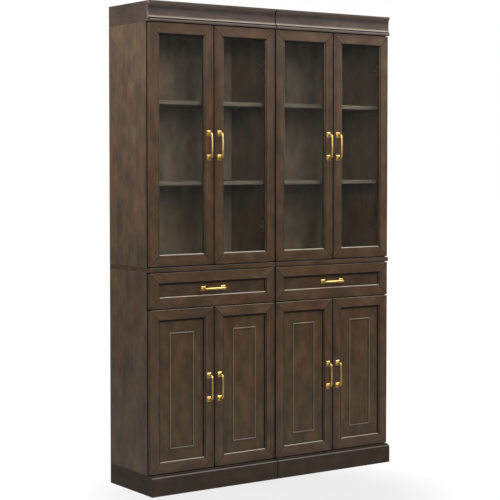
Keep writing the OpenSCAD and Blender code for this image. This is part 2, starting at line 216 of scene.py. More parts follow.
MITRE_CHAMFER = 0.7                             # length over which a bar draws in at its mitres
MITRE_EASE = 0.49                               # and by how much
AT_MITRE = np.array([1, 1, 0, 0, 1, 1])[:, None]  # the rings of a bar that are dark with stain
END_EASE = 0.7                                  # outer ends of crown, plinth and tops
SEAM_EASE = 1.8                                 # their ends where the cabinets meet
SEAM_REACH = 1                                  # an end this near to x = 0 is where they meet

# Painted shade (up to 1) and painted highlight (down to -1) on the points of a bar's section
EDGE_POINTS = 7                                 # points on the outer edge
COVE = slice(10, 20)                            # points of the step's foot and the cove
# painted shade in the gaps between doors and under bottom rails, painted highlight on top edges
SEAM_SHADE = [1, 1, 1, 1, 0.9, 0.6, 0.3]       # outer edge of a stile between two doors
LOW_EDGE = [1, 1, 1, 1, 0.8, 0.5, 0.2]          # bottom edge of a bottom rail
TOP_EDGE_HIGHLIGHT = [1, 0.6, -0.3, -0.8, -0.6, -0.2, 0]  # top edge of a top rail
# painted highlight on the upward cove of a bottom rail, painted shade on coves facing down or sideways
LOW_COVE = [0.5, 0.2, -0.1, -0.4, -0.6, -0.65, -0.55, -0.4, -0.1, 0.3]
TOP_COVE = [1, 1, 0.95, 0.9, 0.9, 0.9, 0.9, 0.9, 1, 1]
SIDE_COVE = [1, 0.8, 0.45, 0.4, 0.4, 0.4, 0.5, 0.6, 0.8, 1]


def bar_shade_and_highlight(painted_light_and_joints, stile, far, lit_side):
    """Painted shade and highlight on one bar's section, from the painted shade that all four bars share.

    Painted shade darkens the outer edges of stiles, which face the gaps between doors, apart from a stile
    at the cabinets' own side: lit_side is -1 or 1 for one of those. The cove of the bottom rail and the top
    edge of the top rail, which face up, get a pale painted highlight, and the other coves painted shade.
    """
    tone = np.array(painted_light_and_joints, float)
    if stile:
        at_side = lit_side == (1 if far else -1)
        tone[:EDGE_POINTS] = 0 if at_side else SEAM_SHADE
        tone[-1] = 0 if at_side else 1
        tone[COVE] = SIDE_COVE
    else:
        tone[:EDGE_POINTS] = TOP_EDGE_HIGHLIGHT if far else LOW_EDGE
        tone[COVE] = TOP_COVE if far else LOW_COVE
    return tone


def frame_of_bars(low, high, section, painted_light_and_joints=None, lit_side=0):
    """Two rails and two stiles round a rectangle, mitred at the corners, with painted shade and highlight.

    A rail's along is x and its across is z, a stile's the other way round, and the far bar of each pair
    counts its across back from the far side. Without painted shade and highlight of its own a bar is plain,
    apart from its dark mitres.
    """
    shells = []
    for length_axis, cross_axis in ((0, 2), (2, 0)):
        for far in (False, True):
            bar = mitred_bar(section, high[length_axis] - low[length_axis])
            along, across = bar[..., 0], bar[..., 1]
            rings = np.empty_like(bar)
            rings[..., length_axis] = low[length_axis] + along
            rings[..., cross_axis] = high[cross_axis] - across if far else low[cross_axis] + across
            rings[..., 1] = DOOR_FACE + bar[..., 2]
            tone = 0.0 if painted_light_and_joints is None else bar_shade_and_highlight(painted_light_and_joints, length_axis == 2, far, lit_side)
            shells.append(shell(rings, length_axis, np.where(AT_MITRE, 1.0, tone)))
    return shells


def arc(centre, radius, start, stop, steps):
    """Points on an arc: centre + radius (cos a, sin a), with a radius for each axis."""
    a = np.radians(np.linspace(start, stop, steps + 1))
    return np.array(centre) + np.column_stack([np.cos(a), np.sin(a)]) * np.array(radius)


def moulding(section, left, right, painted_light_and_joints=0.0):
    """A section in (y, z) carried straight along x, its ends drawn in by an ease. The end at the seam
    between the two cabinets, which is at x = 0, is drawn in further and is dark with stain."""
    seam_left, seam_right = abs(left) < SEAM_REACH, abs(right) < SEAM_REACH
    first = SEAM_EASE if seam_left else END_EASE
    last = SEAM_EASE if seam_right else END_EASE
    runs = [left, left + first, left + 2 * first, right - 2 * last, right - last, right]
    cuts = [drawn_in(section, first), section, section, section, section, drawn_in(section, last)]
    rings = np.stack([np.column_stack([np.full(len(cut), x), cut]) for x, cut in zip(runs, cuts)])
    dark = np.array([seam_left, seam_left, False, False, seam_right, seam_right])[:, None]
    return shell(rings, 0, np.where(dark, 1.0, painted_light_and_joints))


def lathe(outline, centre, axis=1, steps=8):
    """A turned shape: circles of the outline's radii at the outline's depths along an axis."""
    radius, depth = np.array(outline, float).T
    order = {0: [1, 2, 0], 1: [0, 2, 1], 2: [0, 1, 2]}[axis]
    return shell(stack(rounded_rectangles(radius, radius, radius, steps), depth, order, centre), axis)


# ---------------------------------------------------------------- meshes
def piece(name, shells, body, material, slot, *nodes):
    """One object from closed shells: places in metres, fibre coordinates in the point attribute grain
    and painted shade, painted highlight and dark joints in a second point attribute. It rides on a body and
    replaces the CAD nodes named."""
    points, part_faces, fibres, tone = zip(*shells)
    starts = np.cumsum([0] + [len(part) for part in points])
    faces = [[i + first for i in face] for first, part in zip(starts, part_faces) for face in part]
    mesh = bpy.data.meshes.new(name)
    mesh.from_pydata((np.concatenate(points) / 1000).tolist(), [], faces)
    mesh.polygons.foreach_set("use_smooth", np.ones(len(faces), bool))
    mesh.set_sharp_from_angle(angle=math.radians(SHARP_ANGLE))
    grain = mesh.attributes.new("grain", "FLOAT_VECTOR", "POINT")
    grain.data.foreach_set("vector", (np.concatenate(fibres) / 1000).astype(np.float32).ravel())
    painted_light_and_joints = mesh.attributes.new("painted_light_and_joints", "FLOAT", "POINT")
    painted_light_and_joints.data.foreach_set("value", np.concatenate(tone).astype(np.float32))
    mesh.materials.append(material)
    mesh.update()
    made = bpy.data.objects.new(name, mesh)
    bpy.context.scene.collection.objects.link(made)
    weighted = made.modifiers.new("even_faces", "WEIGHTED_NORMAL")
    weighted.keep_sharp = True
    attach(made, body)
    if nodes:
        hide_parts(*nodes)


def finish_node(name, material):
    """Puts a material on a CAD node that stays as it is."""
    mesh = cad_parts[name].data
    mesh.materials.clear()
    mesh.materials.append(material)


# ---------------------------------------------------------------- materials
def linear(code):
    """sRGB hex to linear: c / 12.92 below 0.04045, else ((c + 0.055) / 1.055) to the power 2.4."""
    c = np.array([int(code[i:i + 2], 16) for i in (1, 3, 5)]) / 255
    return tuple(np.where(c <= 0.04045, c / 12.92, ((c + 0.055) / 1.055) ** 2.4)) + (1.0,)


def add(tree, kind, values=(), stops=(), **settings):
    """Adds a shader node with its settings.

    Values are given for its inputs by name or number, or as a list in their order, which for MapRange
    is the value, the range it comes from and the range it goes to. A node or an output is linked, and
    a hex string is a colour. Stops are the (place, hex) pairs of a colour ramp.
    """
    made = tree.nodes.new("ShaderNode" + kind)
    for name, value in settings.items():
        setattr(made, name, value)
    for key, value in values.items() if isinstance(values, dict) else enumerate(values):
        if isinstance(value, bpy.types.Node):
            value = value.outputs[0]
        if isinstance(value, bpy.types.NodeSocket):
            tree.links.new(value, made.inputs[key])
        else:
            made.inputs[key].default_value = linear(value) if isinstance(value, str) else value
    for place, code in stops[1:-1]:
        made.color_ramp.elements.new(place).color = linear(code)
    for end in (0, -1) if stops else ():
        point = made.color_ramp.elements[end]
        point.position, point.color = stops[end][0], linear(stops[end][1])
    return made


def new_material(name):
    """An empty node material and its node tree."""
    made = bpy.data.materials.new(name)
    made.use_nodes = True
    made.node_tree.nodes.clear()
    return made, made.node_tree


# Wood's layers of noise: features to the metre along and across the fibres, octaves and roughness
WOOD_NOISE = {
    "cloud": ((12, 24, 24), 4, 0.6),        # patches 80 by 40 mm where the stain took unevenly
    "patch": ((5, 12, 12), 2, 0.5),         # warmer and greener stretches 200 by 80 mm
    "figure": ((3.5, 170, 170), 3, 0.6),    # streaks 6 mm wide and 300 mm long
    "pores": ((22, 900, 900), 2, 0.5),      # pores 1 mm wide and 45 mm long
}
WARMTH = [(0.38, "#D6DCC6"), (0.52, "#FFFFFF"), (0.66, "#FFE0C9")]
# Pale colour of the painted highlights, partly wear, and near-black of the painted shade, which also
# darkens joints
HIGHLIGHT_AND_WEAR_COLOUR = "#AE9F8B"
SHADE_AND_JOINT_COLOUR = "#0B0705"
STAIN_PLACES = (0.3, 0.5, 0.72)


def stained_wood(name, tone, streak, roughness, coat, fibre_axis=None):
    """Close-grained hardwood, wiped with a brown stain and sprayed with satin lacquer.

    The eye gets cloudy reddish and greenish patches a hand wide where the stain took unevenly, faint
    dark streaks with the fibres, the dark hairlines of joints, near-black painted shade in corners and on
    the edges that only show in the gaps between doors, pale painted highlights on edges and coves that face
    up, partly wear on bead crests, and a lacquer skin that turns every rounded edge into a thin line of
    light. Fibres are about 0.3 mm wide on the real wood; the pores and streaks here are drawn 1 to 6 mm
    wide so that they show at all. A CAD board has no attributes: its fibres follow fibre_axis, and painted
    shade darkens its front edge, which only shows between doors.
    """
    made, tree = new_material(name)
    if fibre_axis is None:
        fibres = add(tree, "Attribute", attribute_name="grain", attribute_type="GEOMETRY").outputs["Vector"]
        painted_light_and_joints = add(tree, "Attribute", attribute_name="painted_light_and_joints", attribute_type="GEOMETRY").outputs["Fac"]
    else:
        parts = add(tree, "SeparateXYZ", [add(tree, "TexCoord").outputs["Object"]]).outputs
        fibres = add(tree, "CombineXYZ", [parts[(fibre_axis + step) % 3] for step in range(3)])
        front = CARCASS_FRONT / 1000
        # painted shade on the front edge of a CAD board, which only shows in the gaps beside the doors
        painted_light_and_joints = add(tree, "MapRange", [parts[1], front + 0.0004, front + 0.0016, 1, 0])
    noise = {}
    for layer, (scale, detail, rough) in WOOD_NOISE.items():
        place = add(tree, "Mapping", {"Vector": fibres, "Scale": scale}, vector_type="POINT")
        noise[layer] = add(tree, "TexNoise", {
            "Vector": place, "Scale": 1.0, "Detail": detail, "Roughness": rough})
    colour = add(tree, "ValToRGB", [noise["cloud"]], list(zip(STAIN_PLACES, tone)))
    warm = add(tree, "ValToRGB", [noise["patch"]], WARMTH)
    bands = add(tree, "ValToRGB", [noise["figure"]], [(0.36, streak), (0.56, "#FFFFFF")])
    # below 0: a pale painted highlight, partly wear on bead crests; above 0: near-black painted shade and
    # dark joints
    painted_highlight_and_wear = add(tree, "MapRange", [painted_light_and_joints, -1.0, 0.0, 1.0, 0.0])
    painted_shade_and_joints = add(tree, "Clamp", [painted_light_and_joints])
    for share, over, blend in ((0.5, warm, "MULTIPLY"), (0.14, bands, "MULTIPLY"),
                               (painted_highlight_and_wear, HIGHLIGHT_AND_WEAR_COLOUR, "MIX"), (painted_shade_and_joints, SHADE_AND_JOINT_COLOUR, "MIX")):
        mixed = add(tree, "Mix", {0: share, 6: colour, 7: over}, data_type="RGBA", blend_type=blend)
        colour = mixed.outputs[2]
    dull = add(tree, "MapRange", [noise["figure"], 0.3, 0.7, roughness + 0.06, roughness - 0.04])
    dull = add(tree, "Math", [dull, painted_shade_and_joints], operation="MAXIMUM")
    relief = add(tree, "Bump", {"Strength": 0.15, "Distance": 0.0003, "Height": noise["pores"]})
    waves = add(tree, "Bump", {
        "Strength": 0.2, "Distance": 0.001, "Height": noise["cloud"], "Normal": relief})
    skin = add(tree, "MapRange", [painted_shade_and_joints, 0.0, 1.0, coat, 0.0])
    surface = add(tree, "BsdfPrincipled", {
        "Base Color": colour, "Roughness": dull, "IOR": 1.4, "Normal": waves,
        "Coat Weight": skin, "Coat Roughness": 0.16, "Coat Normal": waves})
    add(tree, "OutputMaterial", [surface])
    return made


def polished_brass(name):
    """Cast brass, polished and lacquered: warm yellow, bright where it mirrors a lamp and olive where it
    mirrors the room, with a haze in patches 15 mm wide and polishing lines under a millimetre wide."""
    made, tree = new_material(name)
    place = add(tree, "TexCoord").outputs["Object"]
    haze = add(tree, "TexNoise", {"Vector": place, "Scale": 60.0, "Detail": 3.0})
    lines = add(tree, "TexNoise", {"Vector": place, "Scale": 1400.0, "Detail": 2.0})
    colour = add(tree, "ValToRGB", [haze], [(0.35, "#E6C273"), (0.65, "#F5D88E")])
    dull = add(tree, "MapRange", [haze, 0.3, 0.7, 0.28, 0.38])
    relief = add(tree, "Bump", {"Strength": 0.08, "Distance": 0.0002, "Height": lines})
    surface = add(tree, "BsdfPrincipled", {
        "Base Color": colour, "Metallic": 1.0, "Roughness": dull, "Normal": relief})
    add(tree, "OutputMaterial", [surface])
    return made


def plated_steel(name):
    """Pressed steel with bright zinc plating: cool grey, satin, with cloudy spangles 4 mm across."""
    made, tree = new_material(name)
    place = add(tree, "TexCoord").outputs["Object"]
    spangle = add(tree, "TexVoronoi", {"Vector": place, "Scale": 260.0}, feature="F1")
    haze = add(tree, "TexNoise", {"Vector": place, "Scale": 90.0, "Detail": 3.0})
    colour = add(tree, "ValToRGB", [spangle.outputs["Distance"]], [(0.1, "#8D9092"), (0.8, "#A6A8A8")])
    dull = add(tree, "MapRange", [haze, 0.3, 0.7, 0.26, 0.4])
    surface = add(tree, "BsdfPrincipled", {"Base Color": colour, "Metallic": 1.0, "Roughness": dull})
    add(tree, "OutputMaterial", [surface])
    return made


def float_glass(name):
    """Clear float glass, 3 mm: a faint grey-green body, a mirror-like skin, and smears of dust 140 mm
    wide that only change its gloss. Lamps shine through it on to the shelves."""
    made, tree = new_material(name)
    place = add(tree, "TexCoord").outputs["Object"]
    smear = add(tree, "TexNoise", {"Vector": place, "Scale": 7.0, "Detail": 4.0, "Roughness": 0.6})
    dull = add(tree, "MapRange", [smear, 0.35, 0.75, 0.015, 0.07])
    body = add(tree, "BsdfPrincipled", {
        "Base Color": "#EEF3F0", "Roughness": dull, "IOR": 1.5, "Transmission Weight": 1.0})
    clear = add(tree, "BsdfTransparent", {"Color": "#E9EEEB"})
    in_shadow = add(tree, "LightPath").outputs["Is Shadow Ray"]
    add(tree, "OutputMaterial", [add(tree, "MixShader", [in_shadow, body, clear])])
    return made


def floor_paint(name):
    """Plain pale studio floor. It has some light of its own, so that it stays pale out to the horizon,
    and less of it within a metre in front of the cabinets: a soft grey patch of painted shadow."""
    made, tree = new_material(name)
    place = add(tree, "TexCoord").outputs["Object"]
    haze = add(tree, "TexNoise", {"Vector": place, "Scale": 3.0, "Detail": 3.0})
    colour = add(tree, "ValToRGB", [haze], [(0.3, "#8E8E8D"), (0.7, "#949493")])
    surface = add(tree, "BsdfPrincipled", {"Base Color": colour, "Roughness": 0.7})
    off = add(tree, "VectorMath", [place, (-0.2, -0.4, 0)], operation="SUBTRACT")
    far = add(tree, "VectorMath", [off], operation="LENGTH").outputs["Value"]
    # glow dimmed within a metre of the cabinets: a painted shadow on the floor in front of them
    glow_with_painted_shadow = add(tree, "MapRange", [far, 0.35, 1.1, 0.94, 1.3], interpolation_type="SMOOTHSTEP")
    glow = add(tree, "Emission", {"Color": "#FFFFFF", "Strength": glow_with_painted_shadow})
    seen = add(tree, "LightPath").outputs["Is Camera Ray"]
    share = add(tree, "Math", [seen, 0.84], operation="MULTIPLY")
    add(tree, "OutputMaterial", [add(tree, "MixShader", [share, surface, glow])])
    return made


OUTER_STAIN = ("#4B3725", "#5A4431", "#6B523D")
SIDE_STAIN = ("#57453A", "#665343", "#76614C")
CROWN_STAIN = ("#4D3F39", "#5C4C45", "#6A5850")
PLINTH_STAIN = ("#302315", "#3A2D1E", "#463826")
PANEL_STAIN = ("#44321F", "#523E28", "#614A32")
# Paler copies of the stain, painted light for insides that the lamps reach only through the glass; the real
# insides are as dark as the outside
INNER_STAIN_PAINTED_LIGHTER = ("#68574A", "#766456", "#837060")
SHELF_STAIN_PAINTED_LIGHTER = ("#64564C", "#706156", "#7C6C60")
STREAK = "#8C7A6C"
PLY_STREAK = "#9A8C80"
wood = stained_wood("brown_stained_hardwood_satin_lacquer", OUTER_STAIN, STREAK, 0.42, 0.6)
wood_upright = stained_wood("brown_stained_hardwood_sides", SIDE_STAIN, STREAK, 0.42, 0.6, fibre_axis=2)
wood_crown = stained_wood("brown_stained_hardwood_crown", CROWN_STAIN, STREAK, 0.42, 0.6)
wood_plinth = stained_wood("dark_stained_hardwood_plinth", PLINTH_STAIN, STREAK, 0.45, 0.4)
wood_panel = stained_wood("brown_stained_veneer_panels", PANEL_STAIN, STREAK, 0.42, 0.6)
wood_shelf = stained_wood("stained_ply_shelves", SHELF_STAIN_PAINTED_LIGHTER, PLY_STREAK, 0.5, 0.05)
wood_inner = stained_wood("stained_ply_insides", INNER_STAIN_PAINTED_LIGHTER, PLY_STREAK, 0.5, 0.05)
brass = polished_brass("polished_lacquered_brass")
steel = plated_steel("zinc_plated_steel")
glass = float_glass("clear_float_glass")


# ---------------------------------------------------------------- doors and drawer fronts
def bar_section():
    """Section of a frame bar, and the painted shade that its four bars share.

    A rounded outer edge, a flat face, a fine step, a cove that falls to the lip as 1 - cos a while it
    runs in as sin a, and the rebate behind the lip. The outer edge and the cove get their painted shade and
    highlight bar by bar.
    """
    edge = np.concatenate([[[0, 3.2]], arc((1.5, 1.5), (1.5, 1.5), 180, 270, 5)])
    flat_end = BAR_W - STICK_W
    step = [[flat_end - 0.9, 0], [flat_end - 0.3, 0], [flat_end, 0.3], [flat_end, 1]]
    a = np.radians(np.linspace(0, 90, 9))
    cove = np.column_stack([flat_end + 1 + (STICK_W - 1) * np.sin(a), 1 + (RECESS - 2.5) * (1 - np.cos(a))])
    rebate = BAR_W - REBATE_W
    back = [[BAR_W, RECESS], [rebate, RECESS], [rebate, DOOR_T], [0.6, DOOR_T], [0, DOOR_T - 0.6]]
    # painted shade in the fine step, on the lip and in the rebate behind it
    painted_light_and_joints = [0] * EDGE_POINTS + [0, 0.5, 1] + [0] * 10 + [1, 1, 0.2, 0.2, 0.6]
    return np.concatenate([edge, step, cove, back]), painted_light_and_joints


def stop_section():
    """Section of the small stop bead behind a pane."""
    front, rear = SHEET_FRONT + GLASS_T + PLAY, DOOR_T - 1
    outer, inner = BAR_W - SHEET_LIP, BAR_W
    return np.array([[outer, front], [inner, front], [inner, front + 2.6],
                     [inner - 0.8, front + 4], [inner - 2.5, rear], [outer, rear]])


# Painted shade at the bead's feet and a pale painted highlight, partly wear, along its crest
BEAD_SHADE_AND_HIGHLIGHT = [0, 0.4, 0.1, -0.1, -0.3, -0.38, -0.38, -0.35, -0.2, 0.1, 0.6, 1, 0]


def beaded_panel(low, high, bead):
    """Thin panel as rings drawn in from its edge: back, edge, flat margin, a half-round bead standing
    proud at its inset, and the flat middle. The bead stands BEAD_H times sin a to the power 0.8 high
    across its width. Painted shade darkens the panel where it meets the bars and at the bead's inner foot,
    and its crest gets a pale painted highlight, partly wear."""
    wide, tall = (high[0] - low[0]) / 2, (high[2] - low[2]) / 2
    face = DOOR_FACE + SHEET_FRONT
    lip = SHEET_LIP
    inset = np.array([0.5, 0, 0, 0.5, lip, lip + 0.6, lip + 3])
    depth = np.array([high[1], high[1] - 0.5, face + 0.5, face, face, face, face])
    # painted shade where the panel meets the bars, and over the whole of a recessed drawer panel
    painted_light_and_joints = [0, 0, 1, 1, 1, 0.8, 0 if bead else PANEL_SHADE]
    if bead:
        a = np.radians(np.linspace(0, 180, 11))
        edge = BEAD_INSET + lip
        across = edge + BEAD_W / 2 * (1 - np.cos(a))
        inset = np.concatenate([inset, [edge - 2], across, [edge + BEAD_W + 2]])
        depth = np.concatenate([depth, [face], face - BEAD_H * np.sin(a) ** 0.8, [face]])
        painted_light_and_joints += BEAD_SHADE_AND_HIGHLIGHT
    outlines = rounded_rectangles(wide - inset, tall - inset, np.full(len(inset), 0.4), 1)
    middle = ((low[0] + high[0]) / 2, 0, (low[2] + high[2]) / 2)
    return shell(stack(outlines, depth, [0, 2, 1], middle), 2 if bead else 0, np.array(painted_light_and_joints)[:, None])


def bow_pull(centre, face, upright):
    """Bow pull: two square feet with bevelled rims that round off into posts, and a bar from post to post.

    The bar is a circle carried along a line: out from a foot, round a quarter bend, and then a shallow
    bow that stands BOW_RISE (1 - t squared) further out at its middle than beside the bends. A foot is
    a stack of outlines from the board outwards, square at first and round where the post begins.
    """
    run, cross = (2, 0) if upright else (0, 2)
    half_across = np.array([9.5, 9.5, 9.2, 7.3, 7.0, 5.5, 5.0, 4.8])
    half_along = np.array([11.0, 11.0, 10.7, 8.8, 8.5, 5.5, 5.0, 4.8])
    radius = np.array([0.5, 0.5, 0.5, 0.4, 0.4, 5.5, 5.0, 4.8])
    depth = -np.array([0.0, 0.9, 1.2, 2.9, 3.0, 3.05, 3.5, 4.4])
    shells = []
    for end in (-1, 1):
        middle = np.zeros(3)
        middle[cross], middle[1], middle[run] = centre[cross], face, centre[run] + end * PULL_CC / 2
        outlines = rounded_rectangles(half_across, half_along, radius, 5)
        shells.append(shell(stack(outlines, depth, [cross, run, 1], middle), run))
    reach, bend = PULL_CC / 2, PULL_BEND
    shoulder = PULL_OUT - BOW_RISE
    post = [[reach, 2], [reach, 8]]
    corner = arc((reach - bend, shoulder - bend), (bend, bend), 0, 90, 8)
    t = np.linspace(1, 0, 9)[1:]
    bow = np.column_stack([t * (reach - bend), shoulder + BOW_RISE * (1 - t ** 2)])
    half = np.concatenate([post, corner, bow])
    line = np.concatenate([half, half[-2::-1] * [-1, 1]])
    heading = np.gradient(line, axis=0)
    heading /= np.linalg.norm(heading, axis=1, keepdims=True)
    side = np.column_stack([-heading[:, 1], heading[:, 0]])
    a = np.radians(np.arange(0, 360, 15))
    rings = np.empty((len(line), len(a), 3))
    rings[..., run] = centre[run] + line[:, None, 0] + PULL_R * np.sin(a) * side[:, None, 0]
    rings[..., 1] = face - line[:, None, 1] - PULL_R * np.sin(a) * side[:, None, 1]
    rings[..., cross] = centre[cross] + PULL_R * np.cos(a)
    return shells + [shell(rings, run)]


def screw_head(centre, radius, rise, axis=1, sense=1):
    """Low domed screw head with a small recess in its middle, standing out along sense times the axis."""
    outline = np.array([[radius * 0.3, rise * 0.35], [radius * 0.34, rise * 0.92],
                        [radius * 0.7, rise * 0.82], [radius * 0.92, rise * 0.5],
                        [radius, rise * 0.12], [radius, -0.2], [radius * 0.5, -0.2]])
    return lathe(outline * [1, sense], centre, axis, 4)


def hinge_cup_set(node, hinge_side):
    """Cup hinges on a door: a turned cup sunk in the door, its flange and two screws, at two heights."""
    low, high = corner_box(node)
    x = low[0] + CUP_R if hinge_side < 0 else high[0] - CUP_R
    back = high[1] - FLANGE_T
    cup = [(3, -7.2), (9.6, -7.2), (11.2, -6), (11.6, 0.6), (12, 1.5), (12.7, 1.5), (CUP_R, 0.8),
           (CUP_R, -9.2), (12, -9.9), (3, -9.9)]
    inset = np.array([0.5, 0, 0, 0.5])
    flange = rounded_rectangles(8 - inset, FLANGE_HALF - inset, 3 - inset, 4)
    flange_depth = [0.02, 0.1, 0.8, FLANGE_T]
    shells = []
    for z in (low[2] + FLANGE_HALF, high[2] - FLANGE_HALF):
        shells.append(lathe(cup, (x, back, z)))
        shells.append(shell(stack(flange, flange_depth, [0, 2, 1], (x + 4 * hinge_side, back, z)), 2))
        shells += [screw_head((x, high[1], z + up), 3.4, 1.3) for up in (-FLANGE_SCREW, FLANGE_SCREW)]
    return shells


def drawer_box_boards(low, high):
    """Two sides, a front and a back between them on the bottom, and the bottom in its grooves."""
    inner_left, inner_right = low[0] + BOX_T + PLAY, high[0] - BOX_T - PLAY
    floor_low = low[2] + BOX_FLOOR_UP
    floor_high = floor_low + BOX_FLOOR_T
    on_floor = floor_high + 2 * PLAY
    return [
        eased_board((low[0], low[1], low[2]), (low[0] + BOX_T, high[1], high[2]), 1),
        eased_board((high[0] - BOX_T, low[1], low[2]), (high[0], high[1], high[2]), 1),
        eased_board((inner_left, low[1], on_floor), (inner_right, low[1] + BOX_T, high[2]), 0),
        eased_board((inner_left, high[1] - BOX_T, on_floor), (inner_right, high[1], high[2]), 0),
        eased_board((low[0] + BOX_GROOVE, low[1] + PLAY, floor_low),
                    (high[0] - BOX_GROOVE, high[1] - PLAY, floor_high), 0, 0.4)]


DOOR_SIDE = {1: -1, 4: 1}       # the cabinets' own side that a door or a drawer is next to
DRAWER_SIDE = {1: -1, 2: 1}

for number in (1, 2, 3, 4):
    for tier in ("glass", "base"):
        door = f"{tier}_door_{number}"
        low, high = corner_box(door + "_frame")
        shells = frame_of_bars(low, high, *bar_section(), DOOR_SIDE.get(number, 0))
        if tier == "glass":
            shells += frame_of_bars(low, high, stop_section())
        piece(door + "_joinery", shells, door, wood, "stained_wood", door + "_frame")
        pull_low, pull_high = corner_box(door + "_pull")
        x, y, z = (pull_low + pull_high) / 2
        pull = bow_pull((x, y, z), DOOR_FACE, True)
        piece(door + "_bow_pull", pull, door, brass, "polished_brass", door + "_pull")
        back = DOOR_FACE + DOOR_T
        heads = [screw_head((x, back, z + up), *PULL_SCREW) for up in (-PULL_CC / 2, PULL_CC / 2)]
        piece(door + "_pull_screws", heads, door, steel, "plated_steel")
        cups = hinge_cup_set(door + "_hinge_cups", -1 if number % 2 else 1)
        piece(door + "_cup_hinges", cups, door, steel, "plated_steel", door + "_hinge_cups")
    finish_node(f"glass_door_{number}_pane", glass)
    door = f"base_door_{number}"
    panel = beaded_panel(*corner_box(door + "_panel"), bead=True)
    piece(door + "_beaded_panel", [panel], door, wood_panel, "stained_wood", door + "_panel")

for unit in (1, 2):
    drawer = f"drawer_{unit}"
    low, high = corner_box(drawer + "_front")
    recess = DOOR_FACE + SHEET_FRONT
    margin = BAR_W - SHEET_LIP
    panel_low = (low[0] + margin, recess, low[2] + margin)
    panel_high = (high[0] - margin, recess + PANEL_T, high[2] - margin)
    shells = frame_of_bars(low, high, *bar_section(), DRAWER_SIDE[unit])
    shells.append(beaded_panel(panel_low, panel_high, bead=False))
    piece(drawer + "_joinery", shells, drawer, wood, "stained_wood", drawer + "_front")
    pull_low, pull_high = corner_box(drawer + "_pull")
    x, z = (pull_low[0] + pull_high[0]) / 2, (low[2] + high[2]) / 2
    pull = bow_pull((x, recess, z), recess, False)
    piece(drawer + "_bow_pull", pull, drawer, brass, "polished_brass", drawer + "_pull")
    low, high = corner_box(drawer + "_box")
    back = low[1] + BOX_T
    heads = [screw_head((x + along, back, z), *PULL_SCREW) for along in (-PULL_CC / 2, PULL_CC / 2)]
    piece(drawer + "_pull_screws", heads, drawer, steel, "plated_steel")
    boards = drawer_box_boards(low, high)
    piece(drawer + "_boards", boards, drawer, wood_inner, "inner_board", drawer + "_box")
    finish_node(drawer + "_runners", steel)


# ---------------------------------------------------------------- cabinets
def crown_section(front, base, top, rear):
    """Crown and the painted light on it: a rounded lip, a dark step, a sloping flat, and a tall hollow
    that flares out under a square fillet. The hollow leans out by lean (1 - cos b) as it rises by sin b.
    Painted shade darkens the step and the foot of the hollow, fading up the hollow to a faint painted
    highlight, and the slope between them gets a pale painted highlight."""
    h = top - base
    set_back, lean, flat_top, fillet_h = 8.5, 7, 48, 9
    flat = front + set_back
    b = np.radians(np.linspace(0, 90, 11))[1:]
    lower = [[rear, 0.6], [rear - 0.6, 0], [front + 1.6, 0], [front + 0.5, 0.5], [front, 1.6], [front, 7.5]]
    bead = arc((front + 3, 7.5), (3, 3), 180, 90, 5)[1:]
    step = [[front + 4.4, 10.7], [front + 4.4, 14.2], [front + 2.4, 15.2], [front + 2.6, 16],
            [front + 7.8, 20.4], [flat, 25], [flat, flat_top]]
    rise = flat_top + (h - flat_top - fillet_h) * np.sin(b)
    hollow = np.column_stack([flat - lean * (1 - np.cos(b)), rise])
    fillet = [[front + 0.4, h - 8.7], [front, h - 8.2], [front, h - 0.4], [front + 0.4, h],
              [rear - 0.6, h], [rear, h - 0.6]]
    # painted shade and painted highlight for each point of the section, from the lip upwards
    painted_light_and_joints = [0] * len(lower) + [0, 0, 0, 0, 0.4]
    painted_light_and_joints += [1, 1, 0, -0.6, -0.5, 0, 0.4]
    painted_light_and_joints += [0.62, 0.6, 0.5, 0.3, 0.1, -0.05, -0.15, -0.2, -0.2, -0.15]
    painted_light_and_joints += [0.5, 0, 0, 0, 0, 0]
    return np.concatenate([lower, bead, step, hollow, fillet]) + [0, base], painted_light_and_joints


def plinth_section(front, top, rear):
    """Plinth moulding: a tall flat, a quarter-round nose, and a narrow flat set back on top."""
    nose, ledge = 9, top - 4
    foot = [[rear, 0], [front + 0.8, 0], [front, 0.8]]
    round_over = arc((front + nose, ledge - nose), (nose, nose), 180, 90, 9)
    cap = [[front + nose + 3, ledge], [front + nose + 3, top - 1.5], [rear, top - 1.5]]
    return np.concatenate([foot, round_over, cap])


def top_section(front, back, low, high):
    """Base top: a board with its front edge rounded off and its back edge eased."""
    upper_edge = arc((front + 1, high - 1), (1, 1), 180, 90, 3)
    back_edge = [[back - 0.6, high], [back, high - 0.6], [back, low + 0.6], [back - 0.6, low]]
    lower_edge = arc((front + 3, low + 3), (3, 3), 270, 180, 5)
    return np.concatenate([upper_edge, back_edge, lower_edge])


def level_boards(low, high, floors, **finish):
    """Level boards over the whole of a CAD node, with their undersides at the given heights."""
    return [eased_board((low[0], low[1], z), (high[0], high[1], z + BOARD_T), 0, **finish) for z in floors]


